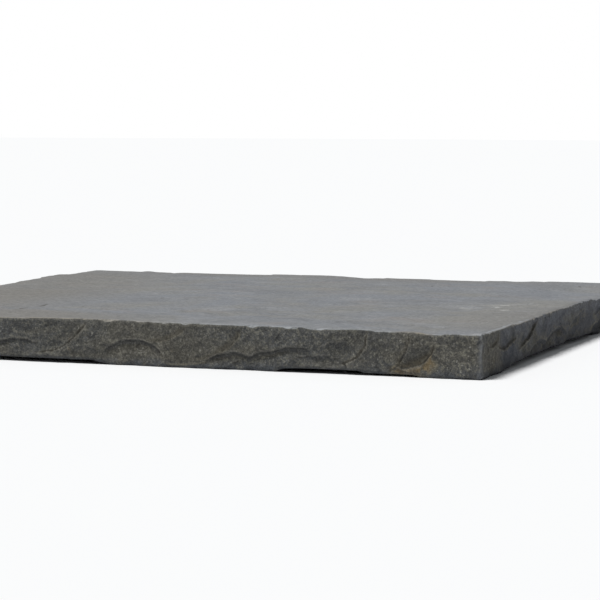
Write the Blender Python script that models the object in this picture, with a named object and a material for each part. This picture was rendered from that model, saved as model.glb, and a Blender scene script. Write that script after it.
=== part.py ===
"""A hand-dressed sandstone paving slab, 600 x 600 mm nominal, as one solid.

The slab is split from its bed, so its top keeps the cleft face: slow swells, thin ledges where a
layer of the stone has come away, and patches of other layers. Its four edges are dressed with a
hammer and chisel. Each blow strikes off a shell of stone and leaves a scar that runs in gently and
ends at a steep curved rim; the low ones undercut the edge. The bed is flat, with shallow hollows
where a flake has spalled off its rim.

Frame: +Z up, origin at the centre of the bed, +X along the front edge and +Y towards the back edge.
"""

import math
import random
from collections import namedtuple

import bmesh
import bpy
from mathutils import Vector, geometry, noise

# Driving dimensions, in metres.
WIDTH = 0.600
DEPTH = 0.600
THICKNESS = 0.0354

# The cleft top face.
SWELL = 0.0012
SWELL_LENGTH = 0.42
LAYER = 0.0008
LAYERS = 3.0
LEDGE_LENGTH = 0.30
LEDGE_STRETCH = 1.7
LEDGE_WIDTH = 0.09
FLAKE_RAG = 0.35
FLAKE_RAG_LENGTH = 0.035
FLAKE_SLOPE = 0.30

# The dressed edges.
EDGE_WANDER = 0.0014
WANDER_LENGTH = 0.16
HACKLE = 0.0009
HACKLE_LENGTH = 0.022
ARRIS_CALM = 0.65
ARRIS_CALM_LENGTH = 0.005
CORNER_REACH = 0.030
CORNER_WEAR = 0.0010
CORNER_WEAR_LENGTH = 0.003

# The scars: how ragged their rims are, how gently they run in and how steeply they end.
RIM_RAG = 0.0019
RIM_RAG_LENGTH = 0.020
RUN_IN = 2.4
RIM_STEEPNESS = 9

# The chips along the two arrises of an edge.
CHIP = 0.0022
CHIP_LENGTH = 0.0110
CHIP_SHARE = 0.16
CHIP_FALL = 1.2
LEAST_CHIP = 0.0011
TOP_ARRIS = 0.0
BED_ARRIS = 7.0

# The mesh: columns round each side, rows down it, and the spacing inside the two faces.
COLUMN = 0.0060
ROWS = (0.0, 0.045, 0.16, 0.30, 0.44, 0.58, 0.72, 0.86, 1.0)
TOP_SPACING = 0.0180
BED_SPACING = 0.0400
TOP_MARGIN = 0.0120
BED_MARGIN = 0.0300

# A scar left by one blow, on an edge seen from outside: its middle along the edge from the edge's
# centre and above the bed, its half axes, the lean of the long one in degrees, how deep it goes, and
# the direction in which the blow ran out, where its rim is steep.
Scar = namedtuple("Scar", "along up half_length half_height lean depth throw")

# A patch of either face, centred at x and y: a piece of a layer that stands proud of the cleft face
# or a pit in it, or a hollow in the bed where a flake has come off. Its height is upwards.
Patch = namedtuple("Patch", "x y half_x half_y height")

# A side: the way it faces, the way its length runs (left to right from outside), and its scars.
Side = namedtuple("Side", "out along scars")

FRONT_SCARS = (
    Scar(0.176, 0.031, 0.0275, 0.027, 0, 0.0048, -25),
    Scar(0.2085, 0.031, 0.030, 0.0325, 0, 0.0032, -32),
    Scar(0.2385, 0.023, 0.0215, 0.017, 14, 0.0042, -76),
    Scar(0.158, 0.000, 0.030, 0.011, 6, 0.0028, 60),
    Scar(0.214, -0.003, 0.026, 0.009, 6, 0.0016, 60),
)
RIGHT_SCARS = (
    Scar(-0.262, 0.034, 0.018, 0.011, 14, 0.0019, -90),
    Scar(-0.222, 0.029, 0.034, 0.012, 2, 0.0023, -100),
    Scar(-0.150, 0.030, 0.046, 0.012, 18, 0.0028, -80),
    Scar(-0.125, -0.003, 0.046, 0.013, 8, 0.0046, 80),
    Scar(-0.050, 0.000, 0.050, 0.016, 6, 0.0056, 100),
    Scar(-0.052, 0.036, 0.054, 0.013, 6, 0.0008, -60),
    Scar(0.045, 0.004, 0.056, 0.020, 10, 0.0048, 150),
    Scar(0.040, 0.037, 0.050, 0.010, 4, 0.0008, -80),
    Scar(0.122, 0.000, 0.036, 0.012, 10, 0.0048, 110),
    Scar(0.118, 0.034, 0.036, 0.014, 10, 0.0016, -70),
)
CLEFT_PATCHES = (
    Patch(-0.030, -0.320, 0.345, 0.140, 0.0034),
    Patch(0.300, -0.270, 0.072, 0.080, 0.0024),
    Patch(0.300, -0.110, 0.070, 0.120, 0.0016),
    Patch(0.300, 0.045, 0.060, 0.070, 0.0014),
    Patch(0.258, -0.304, 0.036, 0.034, -0.0010),
    Patch(0.223, -0.304, 0.016, 0.020, -0.0009),
    Patch(0.300, 0.190, 0.080, 0.100, -0.0022),
    Patch(-0.105, 0.300, 0.125, 0.085, 0.0010),
    Patch(0.085, 0.330, 0.120, 0.150, -0.0010),
    Patch(0.120, 0.330, 0.045, 0.150, -0.0014),
    Patch(-0.300, 0.100, 0.060, 0.110, 0.0007),
    Patch(-0.205, 0.135, 0.060, 0.095, -0.0009),
    Patch(0.060, -0.050, 0.110, 0.070, 0.0006),
)
BED_PATCHES = (
    Patch(0.300, -0.057, 0.050, 0.200, 0.0038),
    Patch(0.168, -0.300, 0.038, 0.035, 0.0036),
    Patch(0.215, -0.300, 0.032, 0.030, 0.0018),
    Patch(-0.120, -0.300, 0.110, 0.042, 0.0034),
    Patch(-0.300, 0.120, 0.045, 0.120, 0.0038),
    Patch(0.060, 0.300, 0.150, 0.040, 0.0032),
    Patch(-0.240, 0.300, 0.060, 0.050, 0.0026),
    Patch(-0.300, -0.210, 0.035, 0.060, 0.0030),
)

STONE_COLOUR = (0.235, 0.240, 0.245, 1.0)
STONE_ROUGHNESS = 0.85


def random_scars(seed, start, end):
    """The scars of a chisel worked along an edge from start to end, each beside the last."""
    rng = random.Random(seed)
    scars = []
    along = start
    while along < end:
        half_length = rng.uniform(0.020, 0.050)
        low = rng.random() < 0.45
        scars.append(
            Scar(
                along=along,
                up=rng.uniform(-0.003, 0.004) if low else rng.uniform(0.024, 0.034),
                half_length=half_length,
                half_height=rng.uniform(0.010, 0.017) if low else rng.uniform(0.012, 0.025),
                lean=rng.uniform(2, 20),
                depth=rng.uniform(0.0026, 0.0046) if low else rng.uniform(0.0014, 0.0036),
                throw=rng.uniform(50, 130) if low else rng.uniform(-95, -35),
            )
        )
        along += half_length * rng.uniform(0.75, 1.25)
    return tuple(scars)


SIDES = (
    Side(Vector((0, -1)), Vector((1, 0)), FRONT_SCARS + random_scars(3, -0.290, 0.140)),
    Side(Vector((1, 0)), Vector((0, 1)), RIGHT_SCARS + random_scars(8, 0.150, 0.290)),
    Side(Vector((0, 1)), Vector((-1, 0)), random_scars(5, -0.285, 0.285)),
    Side(Vector((-1, 0)), Vector((0, -1)), random_scars(12, -0.285, 0.285)),
)


def smooth_step(value):
    value = min(max(value, 0.0), 1.0)
    return value * value * (3 - 2 * value)


def side_length(side):
    return WIDTH if side.along.x else DEPTH


def side_distance(side):
    return DEPTH / 2 if side.out.y else WIDTH / 2


def patch_height(patches, x, y):
    """The height that the patches give at a place: they don't add up, and their rims are ragged."""
    rag = FLAKE_RAG * noise.fractal(Vector((x, y, 9.1)) / FLAKE_RAG_LENGTH, 1.0, 2.0, 2)
    raised = 0.0
    sunken = 0.0
    for patch in patches:
        reach = math.hypot((x - patch.x) / patch.half_x, (y - patch.y) / patch.half_y)
        height = patch.height * smooth_step((1 + rag - reach) / FLAKE_SLOPE)
        raised = max(raised, height)
        sunken = min(sunken, height)
    return raised + sunken


def top_height(x, y):
    """The cleft face: a slow swell, layers that end in low ledges, and patches of other layers."""
    swell = noise.fractal(Vector((x, y, 4.7)) / SWELL_LENGTH, 1.0, 2.0, 2)
    across = Vector((x / LEDGE_STRETCH, y, 1.3)) / LEDGE_LENGTH
    layer = LAYERS * (noise.fractal(across, 0.9, 2.0, 4) + 0.35 * noise.noise(across * 6))
    whole = math.floor(layer)
    ledge = whole + smooth_step((layer - whole) / LEDGE_WIDTH)
    layers = LAYER * (0.75 * ledge + 0.25 * layer - 0.5)
    return THICKNESS + SWELL * swell + layers + patch_height(CLEFT_PATCHES, x, y)


def bed_height(x, y):
    """The underside: flat, and hollow only where a flake has come off its rim."""
    return patch_height(BED_PATCHES, x, y)


def scar_depth(scar, along, up):
    """A shell of stone struck off: it runs in gently and ends at a steep rim."""
    lean = math.radians(scar.lean)
    throw = math.radians(scar.throw)
    a = along - scar.along
    b = up - scar.up
    major = (a * math.cos(lean) + b * math.sin(lean)) / scar.half_length
    minor = (b * math.cos(lean) - a * math.sin(lean)) / scar.half_height
    outward = math.hypot(major, minor)
    if outward >= 1:
        return 0.0
    towards = 0.5 + 0.5 * (major * math.cos(throw) + minor * math.sin(throw))
    return scar.depth * towards**RUN_IN * (1 - outward**RIM_STEEPNESS)


def edge_place(side, along):
    """A point for the noises of a side, well away from those of the other sides."""
    return side.out * 3 + side.along * along


def ragged(side, along, up):
    """The place to look a scar up at, so that its rim is ragged."""
    place = edge_place(side, along)
    spot = Vector((place.x, place.y, up)) / RIM_RAG_LENGTH
    rag_along = RIM_RAG * noise.fractal(spot, 1.0, 2.0, 3)
    rag_up = RIM_RAG * noise.fractal(spot + Vector((0, 0, 50)), 1.0, 2.0, 3)
    return along + rag_along, up + rag_up


def edge_depth(side, along, up):
    """How far the dressed edge stands in from the slab's nominal side, before its arrises chip."""
    place = edge_place(side, along)
    wander = noise.noise(Vector((place.x, place.y, 0.5)) / WANDER_LENGTH)
    scar_along, scar_up = ragged(side, along, up)
    scars = max(scar_depth(scar, scar_along, scar_up) for scar in side.scars)
    hackle = HACKLE * noise.fractal(Vector((place.x, place.y, up)) / HACKLE_LENGTH, 1.0, 2.0, 2)
    calm = 1 - ARRIS_CALM * math.exp(-(THICKNESS - up) / ARRIS_CALM_LENGTH)
    to_corner = side_length(side) / 2 - abs(along)
    wear = CORNER_WEAR * math.exp(-to_corner / CORNER_WEAR_LENGTH)
    return EDGE_WANDER * wander + scars + calm * hackle + wear


def chip_depth(side, along, level, distance):
    """A chip's bevel at this distance from an arris: level tells the top arris from the bed's."""
    place = edge_place(side, along)
    bite = noise.fractal(Vector((place.x, place.y, level)) / CHIP_LENGTH, 1.0, 2.0, 2)
    size = LEAST_CHIP + CHIP * max(0.0, bite - CHIP_SHARE)
    return size * max(0.0, 1 - distance / (CHIP_FALL * size))


def edge_inset(side, along, up):
    """How far the dressed and chipped edge stands in from the slab's nominal side at this place."""
    top_chip = chip_depth(side, along, TOP_ARRIS, THICKNESS - up)
    bed_chip = chip_depth(side, along, BED_ARRIS, up)
    return edge_depth(side, along, up) + top_chip + bed_chip


def edge_point(index, along, down):
    """A point of the dressed edge, from 0 at the top to 1 at the bed, and its inset."""
    side = SIDES[index]
    before = SIDES[index - 1]
    after = SIDES[(index + 1) % len(SIDES)]
    half = side_length(side) / 2
    up = THICKNESS * (1 - down)
    place = along
    if along + half < CORNER_REACH:
        start = edge_inset(before, side_length(before) / 2, up)
        place += start * (1 - (along + half) / CORNER_REACH) ** 2
    if half - along < CORNER_REACH:
        end = edge_inset(after, -side_length(after) / 2, up)
        place -= end * (1 - (half - along) / CORNER_REACH) ** 2
    inset = edge_inset(side, along, up)
    flat = side.out * (side_distance(side) - inset) + side.along * place
    top = top_height(flat.x, flat.y)
    bed = bed_height(flat.x, flat.y)
    return Vector((flat.x, flat.y, top + (bed - top) * down)), inset


def edge_rings():
    """The rings of points round the slab, from the top edge down to the bed, and their insets."""
    rings = []
    insets = []
    for down in ROWS:
        found = []
        for index, side in enumerate(SIDES):
            length = side_length(side)
            columns = round(length / COLUMN)
            found += [edge_point(index, length * (i / columns - 0.5), down) for i in range(columns)]
        rings.append([point for point, inset in found])
        insets.append([inset for point, inset in found])
    return rings, insets


def inner_points(spacing, margin, height):
    """A grid of points inside a face, alternate rows set over by half a space."""
    points = []
    rows = round((DEPTH - 2 * margin) / spacing)
    columns = round((WIDTH - 2 * margin) / spacing)
    for row in range(rows + 1):
        y = (DEPTH / 2 - margin) * (2 * row / rows - 1)
        offset = 0.5 * (row % 2)
        for column in range(columns + 1 - row % 2):
            x = (WIDTH / 2 - margin) * (2 * (column + offset) / columns - 1)
            points.append(Vector((x, y, height(x, y))))
    return points


def fill_face(bm, ring, inside, facing_up):
    """Triangles over one face of the slab, from its ring of edge vertices and the points inside."""
    verts = ring + [bm.verts.new(point) for point in inside]
    count = len(ring)
    loop = [(i, (i + 1) % count) for i in range(count)]
    flat = [vert.co.to_2d() for vert in verts]
    inside_constraints = 1
    found = geometry.delaunay_2d_cdt(flat, loop, [], inside_constraints, 1e-7)
    for corners in found[2]:
        places = [found[3][corner][0] for corner in corners]
        face = [verts[place] for place in places]
        turn = (face[1].co - face[0].co).cross(face[2].co - face[0].co).z
        bm.faces.new(face if (turn > 0) == facing_up else face[::-1])


def join_rings(bm, upper, lower, upper_insets, lower_insets):
    """Triangles between two rings, each pair split along its more level diagonal."""
    for i in range(len(upper)):
        beside = (i + 1) % len(upper)
        falling = abs(upper_insets[i] - lower_insets[beside])
        rising = abs(lower_insets[i] - upper_insets[beside])
        if falling < rising:
            bm.faces.new((upper[i], lower[i], lower[beside]))
            bm.faces.new((upper[i], lower[beside], upper[beside]))
        else:
            bm.faces.new((upper[i], lower[i], upper[beside]))
            bm.faces.new((lower[i], lower[beside], upper[beside]))


def slab_mesh():
    bm = bmesh.new()
    points, insets = edge_rings()
    rings = [[bm.verts.new(point) for point in ring] for ring in points]
    for row in range(len(rings) - 1):
        join_rings(bm, rings[row], rings[row + 1], insets[row], insets[row + 1])
    fill_face(bm, rings[0], inner_points(TOP_SPACING, TOP_MARGIN, top_height), True)
    fill_face(bm, rings[-1], inner_points(BED_SPACING, BED_MARGIN, bed_height), False)
    centre_on_bed(bm)
    mesh = bpy.data.meshes.new("slab")
    bm.to_mesh(mesh)
    bm.free()
    return mesh


def centre_on_bed(bm):
    """Moves the mesh so that its box is centred on X and Y."""
    for axis in (0, 1):
        values = [vert.co[axis] for vert in bm.verts]
        middle = (min(values) + max(values)) / 2
        for vert in bm.verts:
            vert.co[axis] -= middle


def stone_material():
    material = bpy.data.materials.new("sandstone")
    material.use_nodes = True
    shader = material.node_tree.nodes["Principled BSDF"]
    shader.inputs["Base Color"].default_value = STONE_COLOUR
    shader.inputs["Roughness"].default_value = STONE_ROUGHNESS
    shader.inputs["Metallic"].default_value = 0.0
    return material


def main():
    for obj in list(bpy.data.objects):
        bpy.data.objects.remove(obj)
    mesh = slab_mesh()
    mesh.materials.append(stone_material())
    slab = bpy.data.objects.new("slab", mesh)
    bpy.context.scene.collection.objects.link(slab)
    mesh.set_sharp_from_angle(angle=math.radians(35))


main()
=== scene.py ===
"""The looks of a hand-dressed sandstone paving slab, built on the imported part's own frame.

Metres, +Z up, origin at the centre of the bed. The slab's form is the part's own: the same swells,
ledges, patches, blows, hackle and chips, here sampled finely, with ripples, splinters and small facets
added to them.
"""

import math
import random
from collections import namedtuple

import bpy
import numpy as np
from mathutils import Matrix, Vector, geometry, noise


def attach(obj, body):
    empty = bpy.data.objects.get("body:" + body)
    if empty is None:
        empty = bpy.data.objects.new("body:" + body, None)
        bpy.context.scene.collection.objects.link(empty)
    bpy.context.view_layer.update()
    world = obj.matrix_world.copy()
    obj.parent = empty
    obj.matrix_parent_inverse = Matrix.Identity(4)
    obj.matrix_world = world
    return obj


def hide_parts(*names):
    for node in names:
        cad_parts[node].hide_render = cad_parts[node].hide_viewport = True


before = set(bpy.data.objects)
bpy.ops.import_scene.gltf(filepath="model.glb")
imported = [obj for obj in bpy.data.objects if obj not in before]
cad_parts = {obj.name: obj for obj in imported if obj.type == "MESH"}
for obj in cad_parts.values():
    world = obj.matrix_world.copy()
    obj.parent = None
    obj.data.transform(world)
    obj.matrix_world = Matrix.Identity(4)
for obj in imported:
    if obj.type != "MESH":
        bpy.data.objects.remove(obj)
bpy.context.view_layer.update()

# Driving dimensions of the slab, as in the part.
WIDTH = 0.600
DEPTH = 0.600
THICKNESS = 0.0354

# The cleft top face.
SWELL = 0.0012
SWELL_LENGTH = 0.42
LAYER = 0.0008
LAYERS = 3.0
LEDGE_LENGTH = 0.30
LEDGE_STRETCH = 1.7
LEDGE_WIDTH = 0.09
FLAKE_RAG = 0.35
FLAKE_RAG_LENGTH = 0.035
FLAKE_SLOPE = 0.30
RIPPLE = 0.00010
RIPPLE_LENGTH = 0.018

# The third coordinate at which each plane noise of a face or an edge is read, so that no two agree.
SWELL_SLICE = 4.7
LEDGE_SLICE = 1.3
FLAKE_SLICE = 9.1
RIPPLE_SLICE = 2.2
WANDER_SLICE = 0.5
TOP_ARRIS = 0.0
BED_ARRIS = 7.0

# The dressed edges.
EDGE_WANDER = 0.0014
WANDER_LENGTH = 0.16
HACKLE = 0.0009
HACKLE_LENGTH = 0.022
CORNER_REACH = 0.030
CORNER_WEAR = 0.0010
CORNER_WEAR_LENGTH = 0.003

# The scars: how gently a blow runs in, and how steep and how ragged its rim is.
RUN_IN = 2.4
RIM_STEEPNESS = 9
RIM_RAG = 0.0019
RIM_RAG_LENGTH = 0.020
RAG_SHIFT = Vector((0, 0, 50))

# The marks of a scar's rim: the rim is sharp from the middle of the blow on, and its marks have these
# widths. The dark line inside a rim is painted shade, and the pale line outside it a painted highlight.
# The creases of scars shallower than CREASE_DEPTH are fainter, and all marks fade out over
# CREASE_FADE under the top arris.
SHARP_START = 0.5
SHARP_RUN = 0.4
RIM_SOFTNESS = 0.0009
CREASE_WIDTH = 0.0024
CREASE_DEPTH = 0.0036
CREASE_FADE = 0.0080
PALE_WIDTH = 0.0019
BROWN_WIDTH = 0.0070

# The tan stain outside a rim: broad only where the blow ran out, low on the edge, and on a rim that iron
# has stained deeply.
LEAST_TAN = 0.0012
TAN_WIDTH = 0.0095
TAN_START = 0.70
TAN_RUN = 0.20
TAN_TOP = 0.0180
TAN_FALL = 0.0090
TAN_GATHERING = 4

# Fine relief of the dressed edges: splinters, broken facets, and arrises that are calmer but chipped.
SPLINTER = 0.00032
SPLINTER_LENGTH = 0.0050
FACET = 0.0011
FACET_LENGTH = 0.014
FACET_STRETCH = 1.3
FACET_SEED = 5
TILT_CHANGE = 5.3
ARRIS_CALM = 0.65
ARRIS_CALM_LENGTH = 0.005
CHIP = 0.0022
CHIP_LENGTH = 0.0110
CHIP_SHARE = 0.16
CHIP_FALL = 1.2
LEAST_CHIP = 0.0011

# The mesh: columns round each side, rows down it, and the spacing inside the two faces.
COLUMN = 0.00105
ROW_COUNT = 31
ROW_CROWDING = 1.15
TOP_SPACING = 0.0050
BED_SPACING = 0.0100
TOP_MARGIN = 0.0080
BED_MARGIN = 0.0200

# For the triangles of a face: keep those inside its rim, and merge points closer than this.
INSIDE_LOOP = 1
SAME_PLACE = 1e-7

# How the material's values are measured off the mesh: over how many rows and columns the edge is
# smoothed to find its hollows and its crests, and what depth in metres gives a value of 1.
HOLLOW_BLUR = (5, 9)
HOLLOW_UNIT = 0.001
CREST_BLUR = (2, 2)
CREST_UNIT = 0.0002
BRUISE_UNIT = 0.001

# A scar left by one blow: its middle, its half axes, the lean of the long one in degrees, how deep it
# goes, the direction in degrees in which the blow ran out, where its rim is sharp, and how far iron has
# stained that rim.
Scar = namedtuple("Scar", "along up half_length half_height lean depth throw stain")

# A place where a layer has stayed on or come off: its middle, its half widths and its height.
Patch = namedtuple("Patch", "x y half_x half_y height")

# A dressed edge: the way it faces, the way it runs, how coarse its grain is, and its scars. An edge with
# little grain is also darker and bluer: partly its own colour, partly painted shade.
Side = namedtuple("Side", "out along grit scars")

# A broad place where the stone's colour or grain changes: its middle, its half widths and its strength.
Cloud = namedtuple("Cloud", "x y half_x half_y strength")

# A small mark on the walking face: its middle and its half widths.
Spot = namedtuple("Spot", "x y half_x half_y")

# The scars of the front edge's right end and of most of the right edge, whose along is measured from the
# middle of the edge.
FRONT_SCARS = (
    Scar(0.176, 0.031, 0.0275, 0.027, 0, 0.0048, -25, 0.40),
    Scar(0.2085, 0.031, 0.030, 0.0325, 0, 0.0032, -32, 0.60),
    Scar(0.2385, 0.023, 0.0215, 0.017, 14, 0.0042, -76, 1.00),
    Scar(0.158, 0.000, 0.030, 0.011, 6, 0.0028, 60, 0.00),
    Scar(0.214, -0.003, 0.026, 0.009, 6, 0.0016, 60, 0.00),
)
RIGHT_SCARS = (
    Scar(-0.262, 0.034, 0.018, 0.011, 14, 0.0019, -90, 0.50),
    Scar(-0.222, 0.029, 0.034, 0.012, 2, 0.0023, -100, 0.62),
    Scar(-0.150, 0.030, 0.046, 0.012, 18, 0.0028, -80, 0.56),
    Scar(-0.125, -0.003, 0.046, 0.013, 8, 0.0046, 80, 0.20),
    Scar(-0.050, 0.000, 0.050, 0.016, 6, 0.0056, 100, 0.72),
    Scar(-0.052, 0.036, 0.054, 0.013, 6, 0.0008, -60, 0.00),
    Scar(0.045, 0.004, 0.056, 0.020, 10, 0.0048, 150, 0.50),
    Scar(0.040, 0.037, 0.050, 0.010, 4, 0.0008, -80, 0.00),
    Scar(0.122, 0.000, 0.036, 0.012, 10, 0.0048, 110, 0.70),
    Scar(0.118, 0.034, 0.036, 0.014, 10, 0.0016, -70, 0.20),
)
CLEFT_PATCHES = (
    Patch(-0.030, -0.320, 0.345, 0.140, 0.0034),
    Patch(0.300, -0.270, 0.072, 0.080, 0.0024),
    Patch(0.300, -0.110, 0.070, 0.120, 0.0016),
    Patch(0.300, 0.045, 0.060, 0.070, 0.0014),
    Patch(0.258, -0.304, 0.036, 0.034, -0.0010),
    Patch(0.223, -0.304, 0.016, 0.020, -0.0009),
    Patch(0.300, 0.190, 0.080, 0.100, -0.0022),
    Patch(-0.105, 0.300, 0.125, 0.085, 0.0010),
    Patch(0.085, 0.330, 0.120, 0.150, -0.0010),
    Patch(0.120, 0.330, 0.045, 0.150, -0.0014),
    Patch(-0.300, 0.100, 0.060, 0.110, 0.0007),
    Patch(-0.205, 0.135, 0.060, 0.095, -0.0009),
    Patch(0.060, -0.050, 0.110, 0.070, 0.0006),
)
BED_PATCHES = (
    Patch(0.300, -0.057, 0.050, 0.200, 0.0038),
    Patch(0.168, -0.300, 0.038, 0.035, 0.0036),
    Patch(0.215, -0.300, 0.032, 0.030, 0.0018),
    Patch(-0.120, -0.300, 0.110, 0.042, 0.0034),
    Patch(-0.300, 0.120, 0.045, 0.120, 0.0038),
    Patch(0.060, 0.300, 0.150, 0.040, 0.0032),
    Patch(-0.240, 0.300, 0.060, 0.050, 0.0026),
    Patch(-0.300, -0.210, 0.035, 0.060, 0.0030),
)

# Where the walking face and its bruised arrises are warmer.
WARM_CLOUDS = (
    Cloud(-0.300, -0.020, 0.150, 0.330, 1.00),
    Cloud(0.300, -0.130, 0.070, 0.130, 0.80),
    Cloud(-0.060, 0.310, 0.300, 0.060, 0.60),
    Cloud(-0.130, -0.300, 0.140, 0.070, 0.90),
    Cloud(0.242, -0.300, 0.015, 0.010, 1.00),
)

# Where the dressed edges are coarser: round the near right corner.
COARSE_CLOUDS = (Cloud(0.300, -0.300, 0.060, 0.055, 0.52),)

# Marks on the walking face: small pits and ledges painted as dark spots of shade, places knocked pale,
# and the rubbed stretch of the right arris, whose pale line is partly a painted highlight.
PIT_SHADOWS = (
    Spot(-0.139, -0.227, 0.0050, 0.0150),
    Spot(-0.154, -0.150, 0.0024, 0.0090),
    Spot(-0.076, -0.054, 0.0018, 0.0080),
)
KNOCKS = (
    Spot(0.238, -0.020, 0.0050, 0.0060),
    Spot(0.238, 0.002, 0.0070, 0.0050),
    Spot(0.252, -0.050, 0.0065, 0.0060),
    Spot(0.208, -0.031, 0.0020, 0.0050),
)
# A pale line along the right arris: rubbed, and partly a painted highlight.
RUBBED_ARRIS_AND_HIGHLIGHT = (Spot(0.2984, -0.215, 0.0024, 0.110),)

# How far the marks' rims wander, as a share of the marks' half widths, and the size of their rags.
SPOT_RAG = 1.1
SPOT_RAG_LENGTH = 0.0045

# Where the walking face is rubbed in pale flecks: the middle of the area, how far it reaches, and the
# size of a fleck.
RUBBED_PLACE = (0.243, -0.020, THICKNESS)
RUBBED_REACH = 0.052
RUBBED_FLECK = 0.013

# The share of the random scars that lie low on an edge, and what is added to an edge's seed for the
# draws of its iron stains, which leave the draws of its scars as they are in the part.
LOW_SHARE = 0.45
IRON_SEED = 100


def random_scars(seed, start, end):
    """The scars of a chisel worked along an edge from start to end, each beside the last."""
    rng = random.Random(seed)
    iron = random.Random(seed + IRON_SEED)
    scars = []
    along = start
    while along < end:
        half_length = rng.uniform(0.020, 0.050)
        low = rng.random() < LOW_SHARE
        scars.append(
            Scar(
                along=along,
                up=rng.uniform(-0.003, 0.004) if low else rng.uniform(0.024, 0.034),
                half_length=half_length,
                half_height=rng.uniform(0.010, 0.017) if low else rng.uniform(0.012, 0.025),
                lean=rng.uniform(2, 20),
                depth=rng.uniform(0.0026, 0.0046) if low else rng.uniform(0.0014, 0.0036),
                throw=rng.uniform(50, 130) if low else rng.uniform(-95, -35),
                stain=max(0.0, iron.uniform(-0.4, 0.8)),
            )
        )
        along += half_length * rng.uniform(0.75, 1.25)
    return tuple(scars)


# The right edge's low grit makes it darker and bluer than the front: partly its own colour, and partly
# painted shade of the side away from the key light.
SIDES = (
    Side(Vector((0, -1)), Vector((1, 0)), 0.72, FRONT_SCARS + random_scars(3, -0.290, 0.140)),
    Side(Vector((1, 0)), Vector((0, 1)), 0.40, RIGHT_SCARS + random_scars(8, 0.150, 0.290)),
    Side(Vector((0, 1)), Vector((-1, 0)), 0.85, random_scars(5, -0.285, 0.285)),
    Side(Vector((-1, 0)), Vector((0, -1)), 0.60, random_scars(12, -0.285, 0.285)),
)


def smooth_step(value):
    value = min(max(value, 0.0), 1.0)
    return value * value * (3 - 2 * value)


def side_length(side):
    return WIDTH if side.along.x else DEPTH


def side_distance(side):
    return DEPTH / 2 if side.out.y else WIDTH / 2


def edge_place(side, along):
    """A point for the noises of a side, well away from those of the other sides."""
    return side.out * 3 + side.along * along


def patch_height(patches, x, y):
    """The height that the patches give at a place: they don't add up, and their rims are ragged."""
    rag = FLAKE_RAG * noise.fractal(Vector((x, y, FLAKE_SLICE)) / FLAKE_RAG_LENGTH, 1.0, 2.0, 2)
    raised = 0.0
    sunken = 0.0
    for patch in patches:
        reach = math.hypot((x - patch.x) / patch.half_x, (y - patch.y) / patch.half_y)
        height = patch.height * smooth_step((1 + rag - reach) / FLAKE_SLOPE)
        raised = max(raised, height)
        sunken = min(sunken, height)
    return raised + sunken


def top_height(x, y):
    """The cleft face: a slow swell, layers that end in low ledges, and patches of other layers."""
    swell = noise.fractal(Vector((x, y, SWELL_SLICE)) / SWELL_LENGTH, 1.0, 2.0, 2)
    across = Vector((x / LEDGE_STRETCH, y, LEDGE_SLICE)) / LEDGE_LENGTH
    layer = LAYERS * (noise.fractal(across, 0.9, 2.0, 4) + 0.35 * noise.noise(across * 6))
    whole = math.floor(layer)
    ledge = whole + smooth_step((layer - whole) / LEDGE_WIDTH)
    layers = LAYER * (0.75 * ledge + 0.25 * layer - 0.5)
    ripple = RIPPLE * noise.fractal(Vector((x, y, RIPPLE_SLICE)) / RIPPLE_LENGTH, 0.8, 2.0, 3)
    return THICKNESS + SWELL * swell + layers + patch_height(CLEFT_PATCHES, x, y) + ripple


def bed_height(x, y):
    """The underside: flat, and hollow only where a flake has come off its rim."""
    return patch_height(BED_PATCHES, x, y)


def in_scar(scar, along, up):
    """Where a place lies in a scar: 0 at its middle and 1 at its rim, and how far to the blow's end."""
    lean = math.radians(scar.lean)
    throw = math.radians(scar.throw)
    a = along - scar.along
    b = up - scar.up
    major = (a * math.cos(lean) + b * math.sin(lean)) / scar.half_length
    minor = (b * math.cos(lean) - a * math.sin(lean)) / scar.half_height
    outward = math.hypot(major, minor)
    return outward, 0.5 + 0.5 * (major * math.cos(throw) + minor * math.sin(throw))


def scar_depth(scar, along, up):
    """A shell of stone struck off: it runs in gently and ends at a steep rim."""
    outward, towards = in_scar(scar, along, up)
    if outward >= 1:
        return 0.0
    return scar.depth * max(0.0, towards) ** RUN_IN * (1 - outward**RIM_STEEPNESS)


def ragged(side, along, up):
    """The place to look a scar up at, so that its rim is ragged."""
    place = edge_place(side, along)
    spot = Vector((place.x, place.y, up)) / RIM_RAG_LENGTH
    rag_along = RIM_RAG * noise.fractal(spot, 1.0, 2.0, 3)
    rag_up = RIM_RAG * noise.fractal(spot + RAG_SHIFT, 1.0, 2.0, 3)
    return along + rag_along, up + rag_up


def edge_depth(side, along, up):
    """How far the dressed edge stands in from the slab's nominal side at this place."""
    place = edge_place(side, along)
    spot = Vector((place.x, place.y, up))
    wander = noise.noise(Vector((place.x, place.y, WANDER_SLICE)) / WANDER_LENGTH)
    scar_along, scar_up = ragged(side, along, up)
    scars = max(scar_depth(scar, scar_along, scar_up) for scar in side.scars)
    hackle = HACKLE * noise.fractal(spot / HACKLE_LENGTH, 1.0, 2.0, 2)
    splinter = SPLINTER * noise.fractal(spot / SPLINTER_LENGTH, 0.8, 2.1, 4)
    facet = facet_depth(Vector((place.x, place.y, scar_up)))
    calm = 1 - ARRIS_CALM * math.exp(-(THICKNESS - up) / ARRIS_CALM_LENGTH)
    to_corner = side_length(side) / 2 - abs(along)
    wear = CORNER_WEAR * math.exp(-to_corner / CORNER_WEAR_LENGTH)
    return EDGE_WANDER * wander + scars + calm * (hackle + splinter + facet) + wear


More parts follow.
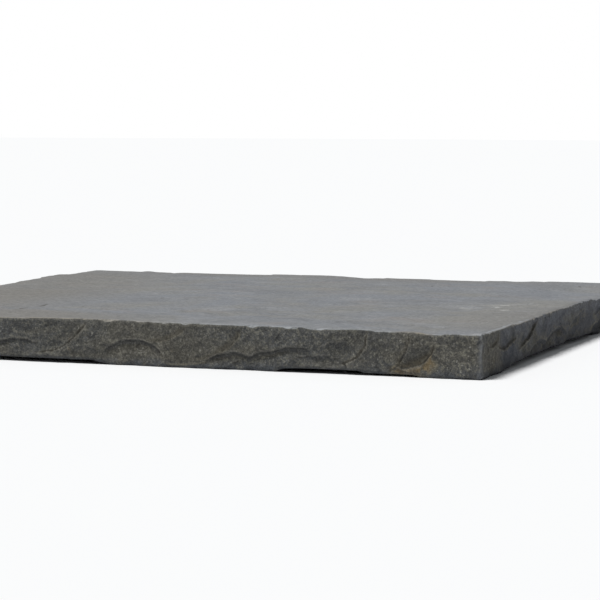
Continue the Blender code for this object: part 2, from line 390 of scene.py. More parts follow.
def rim_marks(side, along, up):
    """The marks of the sharp rims near a place: the dark line inside a rim, which is painted shade, the
    pale line outside it, which is a painted highlight, the brown stain inside and the tan stain outside."""
    fade = smooth_step((THICKNESS - up) / CREASE_FADE)
    along, up = ragged(side, along, up)
    depths = [scar_depth(scar, along, up) for scar in side.scars]
    crease_shade = 0.0
    pale = 0.0
    brown = 0.0
    tan = 0.0
    for index, scar in enumerate(side.scars):
        outward, towards = in_scar(scar, along, up)
        beyond = (outward - 1) * min(scar.half_length, scar.half_height)
        gathered = smooth_step((towards - TAN_START) / TAN_RUN) * smooth_step((TAN_TOP - up) / TAN_FALL)
        tan_width = LEAST_TAN + TAN_WIDTH * scar.stain**TAN_GATHERING * gathered
        brown_width = BROWN_WIDTH * scar.stain
        marked = -max(brown_width, CREASE_WIDTH) < beyond < max(tan_width, PALE_WIDTH)
        if towards < SHARP_START or not marked:
            continue
        own = scar.depth * towards**RUN_IN
        others = max(depth for other, depth in enumerate(depths) if other != index)
        bare = smooth_step((own - others) / (0.5 * own))
        sharp = fade * bare * smooth_step((towards - SHARP_START) / SHARP_RUN)
        inside = smooth_step(0.5 - beyond / RIM_SOFTNESS)
        dark = sharp * min(1.0, scar.depth / CREASE_DEPTH)
        crease_shade = max(crease_shade, dark * inside * max(0.0, 1 + min(0.0, beyond) / CREASE_WIDTH))
        pale = max(pale, dark * (1 - inside) * max(0.0, 1 - max(0.0, beyond) / PALE_WIDTH))
        if scar.stain > 0:
            run = math.sqrt(max(0.0, 1 + min(0.0, beyond) / brown_width))
            brown = max(brown, sharp * inside * scar.stain * run)
            run = math.sqrt(max(0.0, 1 - max(0.0, beyond) / tan_width))
            tan = max(tan, sharp * (1 - inside) * scar.stain * run)
    return crease_shade, pale, brown, tan


def facet_depth(spot):
    """Small broken facets: each tilts its own way, so low steps run between them."""
    place = Vector((spot.x, spot.y, spot.z * FACET_STRETCH)) / FACET_LENGTH
    distances, centres = noise.voronoi(place)
    tilt = noise.noise_vector(centres[0] * TILT_CHANGE)
    return FACET * (tilt.dot(place - centres[0]) - distances[0] * distances[0])


def chip_size(side, along, level):
    """How far a chip has eaten into an arris here: level tells the top arris from the bed's."""
    place = edge_place(side, along)
    bite = noise.fractal(Vector((place.x, place.y, level)) / CHIP_LENGTH, 1.0, 2.0, 2)
    return LEAST_CHIP + CHIP * max(0.0, bite - CHIP_SHARE)


def chip_depth(size, distance):
    """A chip's bevel: full at the arris and gone a little further down the edge."""
    return size * max(0.0, 1 - distance / (CHIP_FALL * size))


def edge_inset(side, along, up):
    """How far the dressed and chipped edge stands in from the nominal side, and the top chip's share."""
    top_chip = chip_depth(chip_size(side, along, TOP_ARRIS), THICKNESS - up)
    bed_chip = chip_depth(chip_size(side, along, BED_ARRIS), up)
    return edge_depth(side, along, up) + top_chip + bed_chip, top_chip


def edge_point(index, along, down):
    """A point of the dressed edge, from 0 at the top to 1 at the bed, with its inset and its chip."""
    side = SIDES[index]
    before = SIDES[index - 1]
    after = SIDES[(index + 1) % len(SIDES)]
    half = side_length(side) / 2
    up = THICKNESS * (1 - down)
    place = along
    if along + half < CORNER_REACH:
        start = edge_inset(before, side_length(before) / 2, up)[0]
        place += start * (1 - (along + half) / CORNER_REACH) ** 2
    if half - along < CORNER_REACH:
        end = edge_inset(after, -side_length(after) / 2, up)[0]
        place -= end * (1 - (half - along) / CORNER_REACH) ** 2
    inset, chip = edge_inset(side, along, up)
    flat = side.out * (side_distance(side) - inset) + side.along * place
    top = top_height(flat.x, flat.y)
    bed = bed_height(flat.x, flat.y)
    return Vector((flat.x, flat.y, top + (bed - top) * down)), inset, chip


def row_levels():
    """The rows down an edge, from 0 to 1, closer together near the top arris."""
    return [(row / (ROW_COUNT - 1)) ** ROW_CROWDING for row in range(ROW_COUNT)]


def inner_points(spacing, margin, height):
    """A grid of points inside a face, alternate rows set over by half a space."""
    points = []
    rows = round((DEPTH - 2 * margin) / spacing)
    columns = round((WIDTH - 2 * margin) / spacing)
    for row in range(rows + 1):
        y = (DEPTH / 2 - margin) * (2 * row / rows - 1)
        offset = 0.5 * (row % 2)
        for column in range(columns + 1 - row % 2):
            x = (WIDTH / 2 - margin) * (2 * (column + offset) / columns - 1)
            points.append(Vector((x, y, height(x, y))))
    return points


def fill_face(points, ring, inside, facing_up):
    """Triangles over one face of the slab. ring holds indices into points; inside is added to it."""
    members = list(ring) + list(range(len(points), len(points) + len(inside)))
    points.extend(inside)
    count = len(ring)
    loop = [(i, (i + 1) % count) for i in range(count)]
    flat = [points[member].to_2d() for member in members]
    found = geometry.delaunay_2d_cdt(flat, loop, [], INSIDE_LOOP, SAME_PLACE)
    faces = []
    for corners in found[2]:
        face = [members[found[3][corner][0]] for corner in corners]
        a, b, c = (points[corner] for corner in face)
        turn = (b - a).cross(c - a).z
        faces.append(face if (turn > 0) == facing_up else face[::-1])
    return faces


def cloud_share(clouds, x, y):
    """How strong the strongest of the clouds is at a place."""
    share = 0.0
    for cloud in clouds:
        reach = math.hypot((x - cloud.x) / cloud.half_x, (y - cloud.y) / cloud.half_y)
        share = max(share, cloud.strength * smooth_step(1.5 - reach))
    return share


def blurred(grid, rows, columns):
    """The mean of a rows x columns grid round each place; the columns run right round the slab."""
    total = np.zeros_like(grid)
    padded = np.pad(grid, ((rows, rows), (0, 0)), mode="edge")
    for down in range(2 * rows + 1):
        total += padded[down : down + grid.shape[0]]
    total /= 2 * rows + 1
    around = sum(np.roll(total, shift, axis=1) for shift in range(-columns, columns + 1))
    return around / (2 * columns + 1)


def edge_rings():
    """The points of the dressed edges, the rings that they make from the top down, as indices into them,
    and each point's inset, chip, nearness to a corner, grit and rim marks."""
    points = []
    traits = []
    rings = []
    for down in row_levels():
        ring = []
        for index, side in enumerate(SIDES):
            length = side_length(side)
            columns = round(length / COLUMN)
            for column in range(columns):
                along = length * (column / columns - 0.5)
                point, inset, chip = edge_point(index, along, down)
                to_corner = length * min(column, columns - column) / columns
                corner = math.exp(-to_corner / CORNER_WEAR_LENGTH)
                grit = side.grit + cloud_share(COARSE_CLOUDS, point.x, point.y)
                marks = rim_marks(side, along, THICKNESS * (1 - down))
                ring.append(len(points))
                points.append(point)
                traits.append((inset, chip, corner, grit, *marks))
        rings.append(ring)
    return points, rings, traits


def edge_faces(rings, insets):
    """Triangles down the edges, each pair split along its more level diagonal."""
    faces = []
    for upper, lower in zip(rings, rings[1:]):
        for i, corner in enumerate(upper):
            beside = (i + 1) % len(upper)
            drop = abs(insets[corner] - insets[lower[beside]])
            rise = abs(insets[lower[i]] - insets[upper[beside]])
            if drop < rise:
                faces += (corner, lower[i], lower[beside]), (corner, lower[beside], upper[beside])
            else:
                faces += (corner, lower[i], upper[beside]), (lower[i], lower[beside], upper[beside])
    return faces


def add_layer(mesh, name, values):
    """Values for the material to read, one for each of the mesh's first points and 0 for the rest."""
    padded = np.zeros(len(mesh.vertices), np.float32)
    padded[: len(values)] = values
    layer = mesh.attributes.new(name, "FLOAT", "POINT")
    layer.data.foreach_set("value", padded)


def slab_mesh():
    """The slab: its dressed edges, then its walking face, then its bed, with the material's values."""
    # The facets tilt by noise_vector, which differs from run to run unless it is seeded.
    noise.seed_set(FACET_SEED)
    points, rings, traits = edge_rings()
    insets, chips, corner, grit, crease_shade, pale, brown, tan = np.array(traits).T
    faces = edge_faces(rings, insets.tolist())
    edge_count = len(points)
    faces += fill_face(points, rings[0], inner_points(TOP_SPACING, TOP_MARGIN, top_height), True)
    top_end = len(points)
    faces += fill_face(points, rings[-1], inner_points(BED_SPACING, BED_MARGIN, bed_height), False)

    places = np.array(points)
    for axis in (0, 1):
        places[:, axis] -= (places[:, axis].min() + places[:, axis].max()) / 2
    mesh = bpy.data.meshes.new("sandstone_slab")
    mesh.from_pydata(places.tolist(), [], faces)
    mesh.polygons.foreach_set("use_smooth", [True] * len(mesh.polygons))

    depth = insets.reshape(len(rings), -1)
    cleft = np.zeros(len(points))
    cleft[: len(rings[0])] = 1.0
    cleft[edge_count:top_end] = 1.0
    # Hollows and crests of the edges: the material darkens the hollows as painted shade and paints the
    # crests paler as a painted highlight.
    add_layer(mesh, "hollow", ((depth - blurred(depth, *HOLLOW_BLUR)) / HOLLOW_UNIT).ravel())
    add_layer(mesh, "crest_highlight", ((blurred(depth, *CREST_BLUR) - depth) / CREST_UNIT).ravel())
    add_layer(mesh, "bruise", chips / BRUISE_UNIT)
    add_layer(mesh, "cleft", cleft)
    add_layer(mesh, "corner", corner)
    add_layer(mesh, "warm", [cloud_share(WARM_CLOUDS, x, y) for x, y, z in places])
    add_layer(mesh, "grit", grit)
    # The rims' marks: the dark lines inside are painted shade, and the pale lines outside painted
    # highlights.
    add_layer(mesh, "crease_shade", crease_shade)
    add_layer(mesh, "pale", pale)
    add_layer(mesh, "brown", brown)
    add_layer(mesh, "tan", tan)
    return mesh


# Colours of the stone, linear.
BLUE_GREY = (0.224, 0.233, 0.250, 1)
BEIGE_GREY = (0.240, 0.235, 0.221, 1)
WARM_GREY = (0.247, 0.231, 0.223, 1)
DARK_GREY = (0.202, 0.207, 0.217, 1)
PALE_GREY = (0.258, 0.263, 0.272, 1)
WARM_BROWN = (0.216, 0.207, 0.192, 1)
PALE_FLECK = (0.41, 0.41, 0.395, 1)
# Dark specks, and the painted shade of small pits and ledges.
SPECK_AND_SHADOW_GREY = (0.085, 0.080, 0.070, 1)
FRESH_BLUE = (0.062, 0.063, 0.062, 1)
FRESH_GREY = (0.077, 0.073, 0.062, 1)
GRAIN_TAN = (0.152, 0.146, 0.119, 1)
CREAM_FLECK = (0.280, 0.275, 0.245, 1)
# Painted shade in the creases and the hollows of the edges.
CREASE_SHADE_BROWN = (0.026, 0.023, 0.017, 1)
STAIN_BROWN = (0.042, 0.034, 0.020, 1)
OCHRE_TAN = (0.150, 0.113, 0.063, 1)
DULL_TAN = (0.140, 0.127, 0.094, 1)
# Painted highlight on the crests and on the line outside each rim.
CREST_HIGHLIGHT_TAN = (0.150, 0.143, 0.122, 1)
# Pale bruises of the arrises, partly a painted highlight.
BRUISED_AND_HIGHLIGHT = (0.350, 0.364, 0.378, 1)
BRUISED_TAN = (0.320, 0.285, 0.230, 1)
# The worn upright corners, partly a painted highlight.
WORN_CORNER_AND_HIGHLIGHT = (0.255, 0.257, 0.255, 1)
LIP_BLUE = (0.130, 0.138, 0.156, 1)
BAND_BLUE = (0.108, 0.116, 0.130, 1)
FOOT_BLUE = (0.056, 0.062, 0.070, 1)
# Darker blue patches: partly random tone, partly painted shade.
DARK_PATCH_BLUE = (0.052, 0.058, 0.074, 1)
# Painted shade on what faces down and in the hollows.
UNDERCUT_SHADE_BLUE = (0.036, 0.039, 0.045, 1)
# Painted shade towards the bed.
DEEP_SHADE_BLUE = (0.021, 0.023, 0.028, 1)

# Where the edge's colour changes with height: how far under the top the blue lip starts and is full,
# and the heights over the bed at which the foot, its painted deep shade and the worn corner, which is
# partly a painted highlight, start and are full.
LIP_START = 0.016
LIP_FULL = 0.003
FOOT_TOP = 0.0080
FOOT_FULL = 0.0015
SHADE_TOP = 0.0130
SHADE_FULL = 0.0010
WORN_START = 0.010
WORN_FULL = 0.024

# The stone's finish: how deep its lumps and grains are in the shader's bumps, and how dull it is.
EDGE_LUMP = 0.0012
EDGE_GRAIN = 0.00025
CLEFT_LUMP = 0.0002
CLEFT_GRAIN = 0.00012
LEAST_ROUGHNESS = 0.72
MOST_ROUGHNESS = 0.92
STONE_SHINE = 0.3


# The sockets of a mix node that each of its data types uses.
MIX_SHARE = 0
COLOUR_A = 6
COLOUR_B = 7
MIXED_COLOUR = 2
VECTOR_A = 4
VECTOR_B = 5
MIXED_VECTOR = 1


class Nodes:
    """Makes shader nodes: each call but make returns the new node's main output."""

    def __init__(self, tree):
        self.tree = tree
        self.tree.nodes.clear()
        self.place = self.make("ShaderNodeTexCoord").outputs["Object"]

    def make(self, kind, inputs=(), **settings):
        """A new node of this kind: each input is linked to a socket or set to a value."""
        made = self.tree.nodes.new(kind)
        for name, value in settings.items():
            setattr(made, name, value)
        for key, value in dict(inputs).items():
            if isinstance(value, bpy.types.NodeSocket):
                self.tree.links.new(value, made.inputs[key])
            else:
                made.inputs[key].default_value = value
        return made

    def attribute(self, name):
        return self.make("ShaderNodeAttribute", attribute_name=name).outputs["Fac"]

    def stretched(self, x, y, z, turn=0.0):
        """The place on scaled axes, turned by some degrees about Z: a noise read there is stretched."""
        inputs = {"Vector": self.place, "Scale": (x, y, z), "Rotation": (0, 0, math.radians(turn))}
        return self.make("ShaderNodeMapping", inputs).outputs[0]

    def noise(self, size, detail=3.0, roughness=0.55, where=None, warp=0.0):
        """A noise whose lumps are about this size in metres, with values round one half."""
        inputs = {
            "Vector": where or self.place,
            "Scale": 1 / size,
            "Detail": detail,
            "Roughness": roughness,
            "Distortion": warp,
        }
        return self.make("ShaderNodeTexNoise", inputs).outputs["Fac"]

    def shifted(self, z, where=None):
        """The same place in another layer of a noise, so that two noises don't agree."""
        inputs = {0: where or self.place, 1: (0, 0, z)}
        return self.make("ShaderNodeVectorMath", inputs, operation="ADD").outputs[0]

    def speckle(self, colour, value, low, high):
        """A colour made darker and lighter by a value near one half, grain by grain."""
        light = self.ramp(value, 0.30, 0.70, low, high)
        grey = self.make("ShaderNodeCombineColor", {0: light, 1: light, 2: light}).outputs[0]
        return self.mix(1.0, colour, grey, "MULTIPLY")

    def ramp(self, value, low, high, bottom=0.0, top=1.0):
        """Goes smoothly from bottom, where the value is low, to top, where it is high."""
        inputs = {"Value": value, "From Min": low, "From Max": high, "To Min": bottom, "To Max": top}
        return self.make("ShaderNodeMapRange", inputs, interpolation_type="SMOOTHSTEP").outputs[0]

    def product(self, a, b):
        return self.make("ShaderNodeMath", {0: a, 1: b}, operation="MULTIPLY").outputs[0]

    def mix(self, share, a, b, blend="MIX"):
        """The colour a, blended with the colour b by this share."""
        inputs = {MIX_SHARE: share, COLOUR_A: a, COLOUR_B: b}
        made = self.make("ShaderNodeMix", inputs, data_type="RGBA", blend_type=blend)
        return made.outputs[MIXED_COLOUR]

    def bump(self, height, distance, strength=1.0, normal=None):
        inputs = {"Height": height, "Distance": distance, "Strength": strength}
        if normal is not None:
            inputs["Normal"] = normal
        return self.make("ShaderNodeBump", inputs).outputs[0]


def cleft_colour(nodes):
    """The walking face: blue-grey, clouded with beige, darker and paler grey, with its marks."""
    broad = nodes.ramp(nodes.noise(0.15, 4, 0.6, warp=0.6), 0.40, 0.64, 0, 0.85)
    colour = nodes.mix(broad, BLUE_GREY, BEIGE_GREY)
    streaks = nodes.stretched(0.75, 1.2, 1, -8)
    clouds = nodes.ramp(nodes.noise(0.050, 6, 0.66, streaks), 0.46, 0.68, 0, 1.0)
    colour = nodes.mix(clouds, colour, DARK_GREY)
    pale = nodes.ramp(nodes.noise(0.042, 6, 0.66, nodes.shifted(3.1, streaks)), 0.50, 0.70, 0, 1.0)
    colour = nodes.mix(pale, colour, PALE_GREY)
    warm = nodes.ramp(nodes.noise(0.060, 5, 0.60, nodes.shifted(9.4, streaks)), 0.54, 0.70, 0, 0.6)
    colour = nodes.mix(warm, colour, WARM_GREY)
    tint = nodes.product(nodes.attribute("warm"), nodes.ramp(broad, 0.0, 0.85, 0.95, 0.55))
    colour = nodes.mix(tint, colour, WARM_BROWN)
    colour = nodes.speckle(colour, nodes.noise(0.0080, 3, 0.7, nodes.shifted(6.1)), 0.93, 1.07)
    colour = nodes.speckle(colour, nodes.noise(0.0030, 4, 0.75), 0.84, 1.18)
    pits = nodes.ramp(nodes.noise(0.010, 2, 0.5, nodes.shifted(8.3)), 0.76, 0.80)
    colour = nodes.mix(pits, colour, SPECK_AND_SHADOW_GREY)
    flecks = nodes.ramp(nodes.noise(0.007, 2, 0.5, nodes.shifted(5.7)), 0.775, 0.80, 0, 0.8)
    colour = nodes.mix(flecks, colour, PALE_FLECK)
    colour = nodes.mix(rubbed_share(nodes), colour, PALE_FLECK)
    # Painted shade: the listed pits and ledges as dark spots.
    colour = spotted(nodes, colour, PIT_SHADOWS, SPECK_AND_SHADOW_GREY, 0.75)
    colour = spotted(nodes, colour, KNOCKS, PALE_FLECK, 0.90)
    # The right arris's pale line: rubbed, and partly a painted highlight.
    return spotted(nodes, colour, RUBBED_ARRIS_AND_HIGHLIGHT, BRUISED_AND_HIGHLIGHT, 0.90)


def rubbed_share(nodes):
    """How far each place belongs to the pale flecks of the rubbed area."""
    inputs = {0: nodes.place, 1: RUBBED_PLACE}
    distance = nodes.make("ShaderNodeVectorMath", inputs, operation="DISTANCE").outputs["Value"]
    near = nodes.ramp(distance, RUBBED_REACH, 0.3 * RUBBED_REACH)
    rubbed = nodes.ramp(nodes.noise(RUBBED_FLECK, 5, 0.7, nodes.shifted(3.9)), 0.53, 0.66, 0, 0.80)
    return nodes.product(near, rubbed)


def spotted(nodes, colour, spots, paint, strength):
    """A colour with a ragged spot of another at each of some places."""
    rag = nodes.noise(SPOT_RAG_LENGTH, 3, 0.6, nodes.shifted(14.2))
    rag = nodes.ramp(rag, 0.3, 0.7, -SPOT_RAG / 2, SPOT_RAG / 2)
    for spot in spots:
        inputs = {
            "Vector": nodes.place,
            "Location": (-spot.x / spot.half_x, -spot.y / spot.half_y, 0),
            "Scale": (1 / spot.half_x, 1 / spot.half_y, 0),
        }
        within = nodes.make("ShaderNodeMapping", inputs).outputs[0]
        reach = nodes.make("ShaderNodeVectorMath", {0: within}, operation="LENGTH").outputs["Value"]
        reach = nodes.make("ShaderNodeMath", {0: reach, 1: rag}, operation="ADD").outputs[0]
        colour = nodes.mix(nodes.ramp(reach, 1.0, 0.4, 0, strength), colour, paint)
    return colour


# What the edge's colours share: how coarse the grain is, how bare of grain the stone is, a broken-up
# cover, the height over the bed, and where no tan stain lies.
EdgeMasks = namedtuple("EdgeMasks", "grit bare broken height clear")


def edge_masks(nodes):
    """The masks of the dressed edges, for all of their colours."""
    grit = nodes.attribute("grit")
    inputs = {0: 1.0, 1: nodes.ramp(nodes.attribute("tan"), 0.1, 0.6)}
    return EdgeMasks(
        grit=grit,
        bare=nodes.ramp(grit, 0.75, 0.40, 0, 0.7),
        broken=nodes.ramp(nodes.noise(0.010, 4, 0.65, nodes.shifted(6.6)), 0.34, 0.58),
        height=nodes.make("ShaderNodeSeparateXYZ", {0: nodes.place}).outputs["Z"],
        clear=nodes.make("ShaderNodeMath", inputs, operation="SUBTRACT").outputs[0],
    )


def fresh_stone(nodes, masks):
    """Stone as it broke: blue and grey patches, tan grains and cream flecks, and where there are few
    grains, darker blue patches, partly painted shade, and a blue lip under the top arris."""
    bedding = nodes.stretched(0.32, 0.32, 1)
    patches = nodes.ramp(nodes.noise(0.030, 3, 0.55, bedding, warp=0.5), 0.42, 0.60)
    colour = nodes.mix(patches, FRESH_BLUE, FRESH_GREY)
    grain = nodes.ramp(nodes.noise(0.0028, 3, 0.75, nodes.shifted(4.2)), 0.46, 0.66, 0, 1.0)
    colour = nodes.mix(nodes.product(grain, masks.grit), colour, GRAIN_TAN)
    flecks = nodes.ramp(nodes.noise(0.0025, 2, 0.5, nodes.shifted(5.2)), 0.62, 0.72, 0, 0.60)
    colour = nodes.mix(nodes.product(flecks, masks.grit), colour, CREAM_FLECK)
    rust = nodes.ramp(nodes.noise(0.026, 5, 0.65, nodes.shifted(2.4)), 0.62, 0.76, 0, 0.45)
    colour = nodes.mix(rust, colour, OCHRE_TAN)
    # Darker blue patches where there is little grain: partly random tone, partly painted shade.
    dark_patches = nodes.ramp(nodes.noise(0.016, 3, 0.6, nodes.shifted(1.9, bedding)), 0.43, 0.55)
    colour = nodes.mix(nodes.product(masks.bare, dark_patches), colour, DARK_PATCH_BLUE)
    lip = nodes.ramp(nodes.noise(0.020, 3, 0.6, nodes.shifted(10.7)), 0.35, 0.55, 0.3, 1.0)
    near_top = nodes.ramp(masks.height, THICKNESS - LIP_START, THICKNESS - LIP_FULL, 0, 0.85)
    return nodes.mix(nodes.product(nodes.product(lip, near_top), masks.bare), colour, LIP_BLUE)


def iron_stained(nodes, masks, colour):
    """The stains along the scars' rims: brown inside them, and tan to ochre outside."""
    brown = nodes.product(nodes.attribute("brown"), nodes.ramp(masks.broken, 0.0, 1.0, 0.5, 1.0))
    colour = nodes.mix(brown, colour, STAIN_BROWN)
    smeared = nodes.ramp(nodes.noise(0.007, 4, 0.65, nodes.shifted(6.6)), 0.27, 0.50)
    tan = nodes.product(nodes.attribute("tan"), smeared)
    colour = nodes.mix(nodes.ramp(tan, 0.05, 0.65, 0, 0.8), colour, DULL_TAN)
    return nodes.mix(nodes.ramp(tan, 0.45, 0.85, 0, 0.9), colour, OCHRE_TAN)


def creased(nodes, masks, colour):
    """The hollows darkened and the creases dark as painted shade, and the crests and the lines outside
    the rims paler as painted highlights.
    """
    # Painted shade: the hollows darkened.
    hollow = nodes.ramp(nodes.attribute("hollow"), 0.3, 1.8, 0, 0.60)
    hollow = nodes.product(hollow, nodes.ramp(masks.grit, 0.45, 0.75, 1.0, 0.2))
    colour = nodes.mix(hollow, colour, nodes.mix(masks.bare, CREASE_SHADE_BROWN, UNDERCUT_SHADE_BLUE))
    patchy = nodes.ramp(nodes.noise(0.0080, 3, 0.6, nodes.shifted(12.4)), 0.36, 0.56, 0.5, 1.0)
    # Painted highlight: a pale line outside each sharp rim.
    pale = nodes.product(patchy, nodes.ramp(nodes.attribute("pale"), 0.1, 0.7, 0, 0.8))
    pale = nodes.product(pale, nodes.ramp(masks.clear, 0.0, 1.0, 0.4, 1.0))
    colour = nodes.mix(pale, colour, CREST_HIGHLIGHT_TAN)
    # Painted highlight on the crests of the edges.
    crest_highlight = nodes.product(masks.broken, nodes.ramp(nodes.attribute("crest_highlight"), 0.5, 2.0, 0, 0.5))
    colour = nodes.mix(crest_highlight, colour, CREST_HIGHLIGHT_TAN)
    # Painted shade: a dark line inside each sharp rim.
    crease_shade = nodes.product(patchy, nodes.ramp(nodes.attribute("crease_shade"), 0.12, 0.65, 0, 0.95))
    return nodes.mix(crease_shade, colour, CREASE_SHADE_BROWN)


def shaded_foot(nodes, masks, colour):
    """The foot of the edge, darker and bluer towards the bed, and painted shade low on edges with little
    grain and on what faces down, most of all where there is no grain.
    """
    foot = nodes.product(masks.broken, nodes.ramp(masks.height, FOOT_TOP, FOOT_FULL, 0, 0.9))
    colour = nodes.mix(nodes.product(foot, masks.clear), colour, FOOT_BLUE)
    # Painted shade: edges with little grain darkened towards the bed.
    shade = nodes.product(masks.bare, nodes.ramp(masks.height, SHADE_TOP, SHADE_FULL, 0, 1.25))
    colour = nodes.mix(shade, colour, DEEP_SHADE_BLUE)
    # Painted shade: what faces down is darkened towards blue.
    normal = nodes.make("ShaderNodeNewGeometry").outputs["Normal"]
    facing = nodes.make("ShaderNodeSeparateXYZ", {0: normal}).outputs["Z"]
    overhang_shade = nodes.ramp(facing, 0.05, -0.30, 0, 0.88)
    overhang_shade = nodes.product(overhang_shade, nodes.ramp(masks.grit, 0.45, 0.75, 1.0, 0.50))
    return nodes.mix(overhang_shade, colour, UNDERCUT_SHADE_BLUE)


def worn_arrises(nodes, masks, colour):
    """The upright corners, worn pale in a blue band, and the pale bruises of the top arris's chips, both
    partly painted highlights.
    """
    worn = nodes.ramp(nodes.noise(0.0085, 3, 0.65, nodes.shifted(7.7)), 0.32, 0.52)
    # Partly a painted highlight: the upright corners paler, more so higher up.
    corner = nodes.product(worn, nodes.ramp(nodes.attribute("corner"), 0.45, 0.95, 0, 0.85))
    corner = nodes.product(corner, nodes.ramp(masks.height, WORN_START, WORN_FULL, 0.45, 1.0))
    colour = nodes.mix(corner, colour, WORN_CORNER_AND_HIGHLIGHT)
    band = nodes.ramp(nodes.attribute("corner"), 0.05, 0.6, 0, 0.45)
    colour = nodes.mix(nodes.product(band, masks.broken), colour, BAND_BLUE)
    # Partly a painted highlight: the chips of the top arris paler.
    bruise = nodes.product(masks.clear, nodes.ramp(nodes.attribute("bruise"), 0.2, 0.7, 0, 0.9))
    bruised = nodes.mix(nodes.attribute("warm"), BRUISED_AND_HIGHLIGHT, BRUISED_TAN)
    return nodes.mix(nodes.product(bruise, masks.broken), colour, bruised)


def edge_colour(nodes):
    """The dressed edge: darker than the walking face, and granular at three sizes."""
    masks = edge_masks(nodes)
    colour = fresh_stone(nodes, masks)
    colour = iron_stained(nodes, masks, colour)
    colour = creased(nodes, masks, colour)
    colour = shaded_foot(nodes, masks, colour)
    colour = nodes.speckle(colour, nodes.noise(0.0140, 2, 0.5, nodes.shifted(2.9)), 0.91, 1.09)
    colour = nodes.speckle(colour, nodes.noise(0.0042, 3, 0.7), 0.80, 1.20)
    colour = nodes.speckle(colour, nodes.noise(0.0014, 2, 0.7, nodes.shifted(1.3)), 0.68, 1.32)
    return worn_arrises(nodes, masks, colour)


def stone_material():
    """Sandstone: finely gritty where it was split for walking on, and coarsely where it was dressed."""
    material = bpy.data.materials.new("sandstone")
    material.use_nodes = True
    nodes = Nodes(material.node_tree)
    cleft = nodes.attribute("cleft")
    colour = nodes.mix(cleft, edge_colour(nodes), cleft_colour(nodes))
    grains = nodes.noise(0.0011, 2, 0.6)
    lumps = nodes.bump(nodes.noise(0.0045, 5, 0.65), EDGE_LUMP)
    edge_normal = nodes.bump(grains, EDGE_GRAIN, 0.6, lumps)
    swells = nodes.bump(nodes.noise(0.008, 4, 0.6), CLEFT_LUMP)
    cleft_normal = nodes.bump(grains, CLEFT_GRAIN, 0.5, swells)
    inputs = {MIX_SHARE: cleft, VECTOR_A: edge_normal, VECTOR_B: cleft_normal}
    normal = nodes.make("ShaderNodeMix", inputs, data_type="VECTOR").outputs[MIXED_VECTOR]
    roughness = nodes.ramp(nodes.noise(0.02, 3, 0.6), 0.3, 0.7, LEAST_ROUGHNESS, MOST_ROUGHNESS)
    inputs = {
        "Base Color": colour,
        "Roughness": roughness,
        "Normal": normal,
        "Specular IOR Level": STONE_SHINE,
    }
    shader = nodes.make("ShaderNodeBsdfPrincipled", inputs)
    nodes.make("ShaderNodeOutputMaterial", {"Surface": shader.outputs[0]})
    return material


def dress_slab():
    """The finely sampled slab, in the place of the part's plain solid."""
    mesh = slab_mesh()
    mesh.materials.append(stone_material())
    slab = bpy.data.objects.new("sandstone_slab", mesh)
    bpy.context.scene.collection.objects.link(slab)
    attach(slab, "root")
    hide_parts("slab")


# The floor: a wide pale disc, just under the bed.
FLOOR_RADIUS = 12.0
FLOOR_SIDES = 96
FLOOR_DROP = 0.0002
FLOOR_COLOUR = (0.93, 0.93, 0.93, 1)


def make_floor():
    mesh = bpy.data.meshes.new("floor")
    turns = [math.tau * side / FLOOR_SIDES for side in range(FLOOR_SIDES)]
    rim = [(FLOOR_RADIUS * math.cos(turn), FLOOR_RADIUS * math.sin(turn), 0) for turn in turns]
    mesh.from_pydata(rim, [], [range(FLOOR_SIDES)])
    floor = bpy.data.objects.new("floor", mesh)
    floor.location.z = -FLOOR_DROP
    bpy.context.scene.collection.objects.link(floor)
    material = bpy.data.materials.new("floor_paper")
    material.use_nodes = True
    shader = material.node_tree.nodes["Principled BSDF"]
    shader.inputs["Base Color"].default_value = FLOOR_COLOUR
    shader.inputs["Roughness"].default_value = 1.0
    shader.inputs["Specular IOR Level"].default_value = 0.0
    mesh.materials.append(material)


# The light: a broad sun, high over the left and the front, and a faint sky, which the camera sees white.
SUN_FROM = (-0.30, -0.30, 1.0)
SUN_STRENGTH = 2.90
SUN_ANGLE = 22
AMBIENT = 0.20
AMBIENT_COLOUR = (0.93, 0.97, 1.0, 1)
BACKDROP_COLOUR = (1, 1, 1, 1)


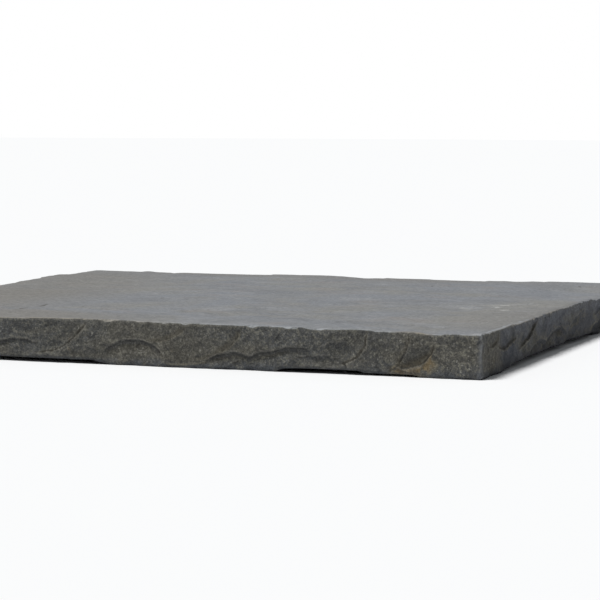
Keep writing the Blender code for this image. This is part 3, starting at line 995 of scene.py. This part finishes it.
def make_lights():
    light = bpy.data.lights.new("key", "SUN")
    light.energy = SUN_STRENGTH
    light.angle = math.radians(SUN_ANGLE)
    key = bpy.data.objects.new("key", light)
    key.rotation_euler = Vector(SUN_FROM).to_track_quat("Z", "Y").to_euler()
    bpy.context.scene.collection.objects.link(key)

    world = bpy.data.worlds.new("studio")
    world.use_nodes = True
    tree = world.node_tree
    tree.nodes.clear()
    path = tree.nodes.new("ShaderNodeLightPath")
    seen = tree.nodes.new("ShaderNodeBackground")
    seen.inputs["Color"].default_value = BACKDROP_COLOUR
    seen.inputs["Strength"].default_value = 1.0
    lit = tree.nodes.new("ShaderNodeBackground")
    lit.inputs["Color"].default_value = AMBIENT_COLOUR
    lit.inputs["Strength"].default_value = AMBIENT
    mix = tree.nodes.new("ShaderNodeMixShader")
    out = tree.nodes.new("ShaderNodeOutputWorld")
    tree.links.new(path.outputs["Is Camera Ray"], mix.inputs[0])
    tree.links.new(lit.outputs[0], mix.inputs[1])
    tree.links.new(seen.outputs[0], mix.inputs[2])
    tree.links.new(mix.outputs[0], out.inputs[0])
    bpy.context.scene.world = world


# The camera: where it stands, and how far it looks down, leans and turns from +Y towards +X, in radians.
CAMERA_PLACE = (0.8217, -2.2429, 0.2228)
CAMERA_PITCH = 0.0792
CAMERA_ROLL = 0.0048
CAMERA_YAW = -0.3347
LENS = 151.8
SENSOR = 36.0


def make_camera():
    data = bpy.data.cameras.new("camera")
    data.lens = LENS
    data.sensor_width = SENSOR
    camera = bpy.data.objects.new("camera", data)
    forward = Vector(
        (
            math.sin(CAMERA_YAW) * math.cos(CAMERA_PITCH),
            math.cos(CAMERA_YAW) * math.cos(CAMERA_PITCH),
            -math.sin(CAMERA_PITCH),
        )
    )
    right = Vector((math.cos(CAMERA_YAW), -math.sin(CAMERA_YAW), 0))
    up = right.cross(forward)
    level = right * math.cos(CAMERA_ROLL) + up * math.sin(CAMERA_ROLL)
    above = up * math.cos(CAMERA_ROLL) - right * math.sin(CAMERA_ROLL)
    turn = Matrix((level, above, -forward)).transposed()
    camera.matrix_world = Matrix.LocRotScale(Vector(CAMERA_PLACE), turn, None)
    bpy.context.scene.collection.objects.link(camera)
    bpy.context.scene.camera = camera


dress_slab()
make_floor()
make_lights()
make_camera()
bpy.context.scene.view_settings.view_transform = "Standard"
